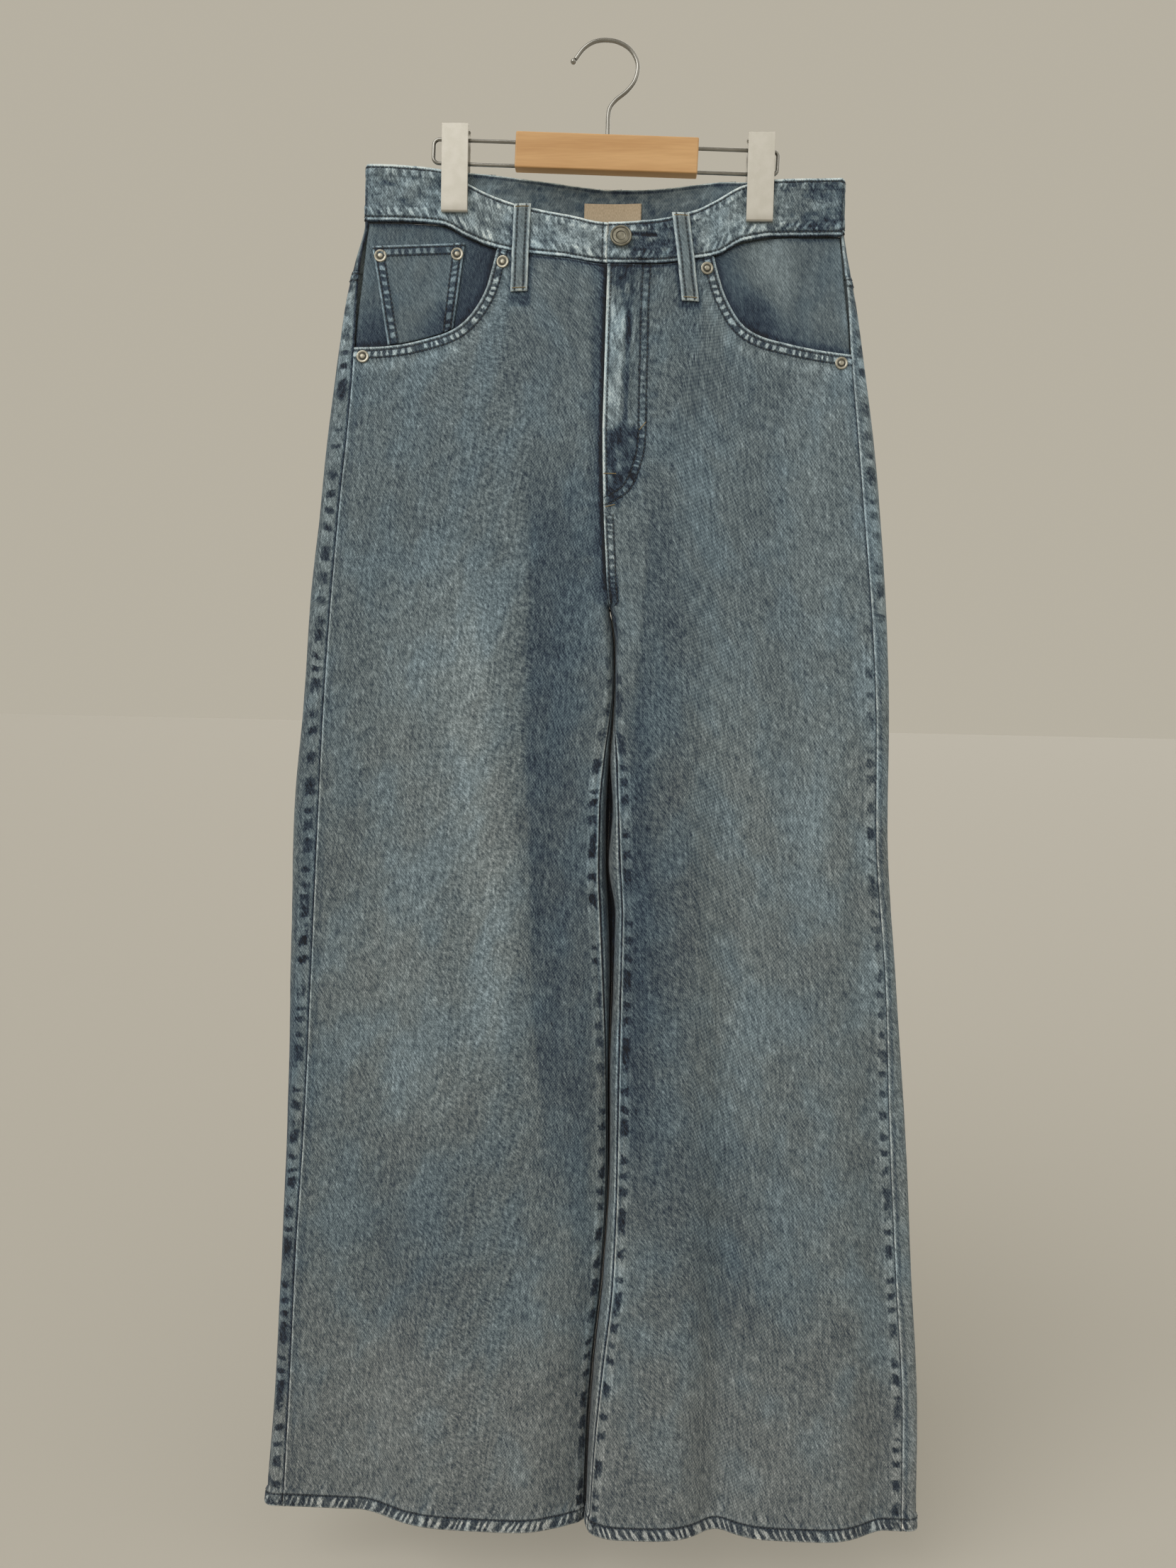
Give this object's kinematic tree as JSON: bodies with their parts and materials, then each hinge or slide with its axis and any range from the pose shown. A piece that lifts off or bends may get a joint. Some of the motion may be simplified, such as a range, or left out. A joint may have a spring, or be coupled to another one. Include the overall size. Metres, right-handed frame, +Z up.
{
  "type": "loose fit jeans on clip hanger",
  "caption": "Loose fit five-pocket jeans in washed blue denim, hung flat by the waistband from a wood and wire clip hanger.",
  "frame": {"origin": "inner top of the hanger's hook, where a peg carries it", "axes": "+Z up from hem to hook, +X to the viewer's right seen from the front, -Y out of the front of the jeans"},
  "size_m": [0.5517, 0.0471, 1.2035],
  "materials": {
    "denim": "washed cotton twill",
    "pocket_denim": "washed cotton twill, less faded",
    "zip_tape": "woven tape",
    "label_cloth": "woven cream tape",
    "nickel": "brushed nickel plate",
    "chrome_wire": "polished",
    "clip_steel": "satin plate",
    "birch": "satin varnish"
  },
  "bodies": {
    "root": {"front_left": "denim", "front_right": "denim", "back_left": "denim", "back_right": "denim", "yoke_left": "denim", "yoke_right": "denim", "waistband_front_left": "denim", "waistband_front_right": "denim", "waistband_back": "denim", "pocket_facing_left": "pocket_denim", "pocket_facing_right": "pocket_denim", "coin_pocket": "pocket_denim", "back_pocket_left": "denim", "back_pocket_right": "denim", "fly_facing": "denim", "zip": "zip_tape", "belt_loop_front_left": "denim", "belt_loop_front_right": "denim", "belt_loop_back_left": "denim", "belt_loop_back_centre": "denim", "belt_loop_back_right": "denim", "label": "label_cloth", "hook": "chrome_wire", "hook_ball": "chrome_wire", "wire_frame_left": "chrome_wire", "wire_frame_right": "chrome_wire", "clip_slider_left": "chrome_wire", "clip_slider_right": "chrome_wire", "clip_front_left": "clip_steel", "clip_back_left": "clip_steel", "clip_front_right": "clip_steel", "clip_back_right": "clip_steel", "rivet_coin_outer": "nickel", "rivet_coin_inner": "nickel", "rivet_left_scoop": "nickel", "rivet_left_side": "nickel", "rivet_right_scoop": "nickel", "rivet_right_side": "nickel", "button": "nickel", "hanger_block": "birch"}
  },
  "joints": []
}
